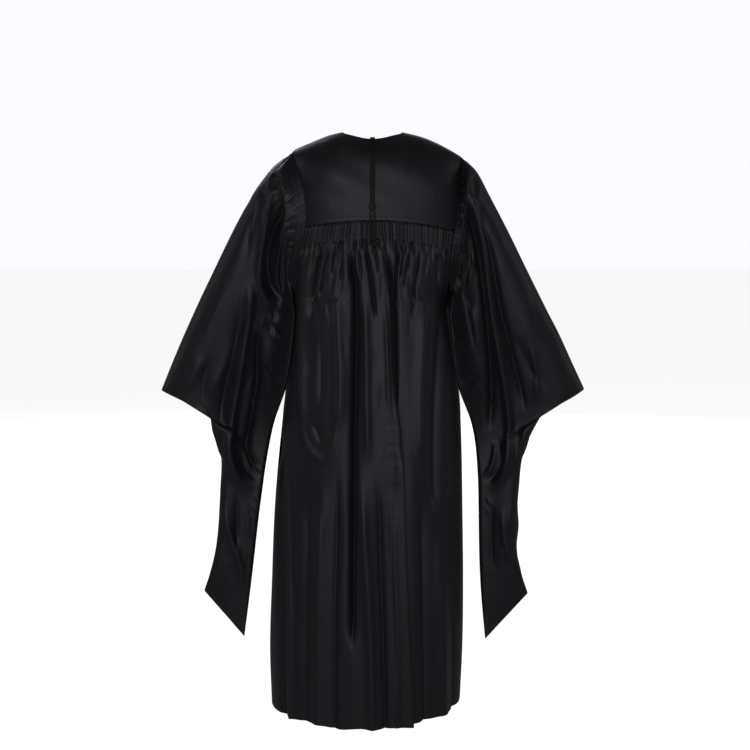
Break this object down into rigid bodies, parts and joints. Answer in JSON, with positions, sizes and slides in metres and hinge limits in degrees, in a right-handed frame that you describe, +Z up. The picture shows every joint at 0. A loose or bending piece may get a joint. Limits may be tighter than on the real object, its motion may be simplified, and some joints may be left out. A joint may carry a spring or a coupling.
{
  "type": "graduation gown (closed-sleeve academic gown, hanging as worn)",
  "caption": "Black satin graduation gown with a smooth yoke, gathered back and front, long closed hanging sleeves and a centre front zip, hanging hollow as it is worn.",
  "frame": {"origin": "middle of the neck opening, level with the neck points of the shoulder line", "axes": "+Z up along the gown's length, +Y towards the wearer's back, +X towards the wearer's left"},
  "size_m": [0.947, 0.3625, 1.2883],
  "materials": {
    "satin": "satin",
    "braid": "matte",
    "zip_tape": "matte",
    "zip_metal": "satin"
  },
  "bodies": {
    "root": {"back_yoke": "satin", "front_yoke_left": "satin", "front_yoke_right": "satin", "back_panel_left": "satin", "back_panel_right": "satin", "front_panel_left": "satin", "front_panel_right": "satin", "sleeve_back_left": "satin", "sleeve_front_left": "satin", "sleeve_back_right": "satin", "sleeve_front_right": "satin", "yoke_cord": "braid", "hood_button": "satin", "cord_loop": "braid", "zip_tape_left": "zip_tape", "zip_tape_right": "zip_tape", "zip_slider": "zip_metal"},
    "pull_tab": {"zip_pull_tab": "zip_metal"}
  },
  "joints": [
    {"name": "pull_tab_hinge", "type": "hinge", "parent": "root", "child": "pull_tab", "pos_m": [0, -0.10963, -0.15], "axis": [-1, 0, 0], "range_deg": [0, 160]}
  ]
}
